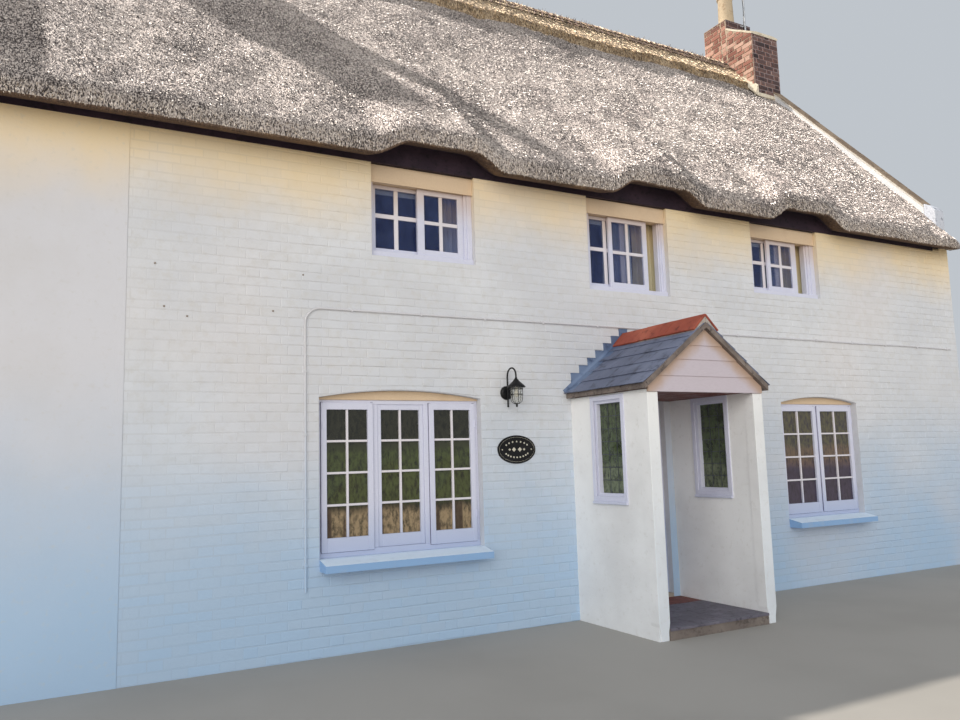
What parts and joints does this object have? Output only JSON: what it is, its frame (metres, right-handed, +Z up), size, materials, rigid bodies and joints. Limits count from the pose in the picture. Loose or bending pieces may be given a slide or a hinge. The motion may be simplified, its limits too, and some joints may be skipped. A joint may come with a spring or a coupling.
{
  "type": "thatched cottage",
  "caption": "Thatched cottage with limewashed brick walls, gable parapets, end chimneys and a slated porch over its hinged front door.",
  "frame": {"origin": "on the ground, at the middle of the house's length and of its depth from the porch roof's front to the rear eaves", "axes": "+Z up, +X along the front towards the right-hand gable as seen from the street, -Y out of the front door"},
  "size_m": [11.224, 7.585, 9.9],
  "materials": {
    "whitewash": "matt limewash on brickwork",
    "floor_stone": "worn stone flags",
    "floor_wood": "bare floor boards",
    "thatch": "weathered reed and straw",
    "ridge_straw": "straw ridge band",
    "dark_wood": "dark stained boards",
    "coping_stone": "mortar and stone, limewashed at the side",
    "chimney_brick": "soft red brick in lime mortar",
    "clay": "buff fired clay",
    "mast_metal": "dull galvanised tube",
    "window_paint": "satin paint on wood",
    "sill_paint": "satin paint on wood",
    "iron": "black painted iron",
    "floor_tile": "matt quarry tiles",
    "red_board": "red-brown stained boards",
    "slate": "riven slate",
    "gable_board": "weathered painted boards",
    "terracotta": "unglazed fired clay",
    "lead": "dull lead sheet"
  },
  "bodies": {
    "house": {"front_wall_left": "whitewash", "front_wall_right": "whitewash", "front_wall_over_door": "whitewash", "rear_wall": "whitewash", "right_gable_wall": "whitewash", "left_gable_wall": "whitewash", "porch_left_wall": "whitewash", "porch_right_wall": "whitewash", "wall_conduit": "whitewash", "ground_floor": "floor_stone", "upper_floor": "floor_wood", "thatch_front": "thatch", "thatch_rear": "thatch", "thatch_ridge": "ridge_straw", "front_eaves_board": "dark_wood", "rear_eaves_board": "dark_wood", "right_front_coping": "coping_stone", "right_rear_coping": "coping_stone", "left_front_coping": "coping_stone", "left_rear_coping": "coping_stone", "right_chimney_stack": "chimney_brick", "left_chimney_stack": "chimney_brick", "right_chimney_pot": "clay", "left_chimney_pot": "clay", "aerial_mast": "mast_metal", "upper_window_left": "window_paint", "upper_window_middle": "window_paint", "upper_window_right": "window_paint", "ground_window_left": "window_paint", "ground_window_right": "window_paint", "rear_upper_window_left": "window_paint", "rear_upper_window_right": "window_paint", "rear_ground_window_left": "window_paint", "rear_ground_window_right": "window_paint", "porch_left_window": "window_paint", "porch_right_window": "window_paint", "door_frame": "window_paint", "ground_sill_left": "sill_paint", "ground_sill_right": "sill_paint", "lantern_bracket": "iron", "lantern": "iron", "oval_plaque": "iron", "porch_floor": "floor_tile", "porch_ceiling": "red_board", "porch_roof_right": "slate", "porch_roof_left": "slate", "porch_gable_boards": "gable_board", "porch_ridge_tiles": "terracotta", "porch_flashing": "lead"},
    "door": {"front_door": "window_paint", "door_knob": "iron"}
  },
  "joints": [
    {"name": "door_hinge", "type": "hinge", "parent": "house", "child": "door", "pos_m": [-0.3172, -2.4995, 1.055], "axis": [0, 0, 1], "range_deg": [0, 90]}
  ]
}
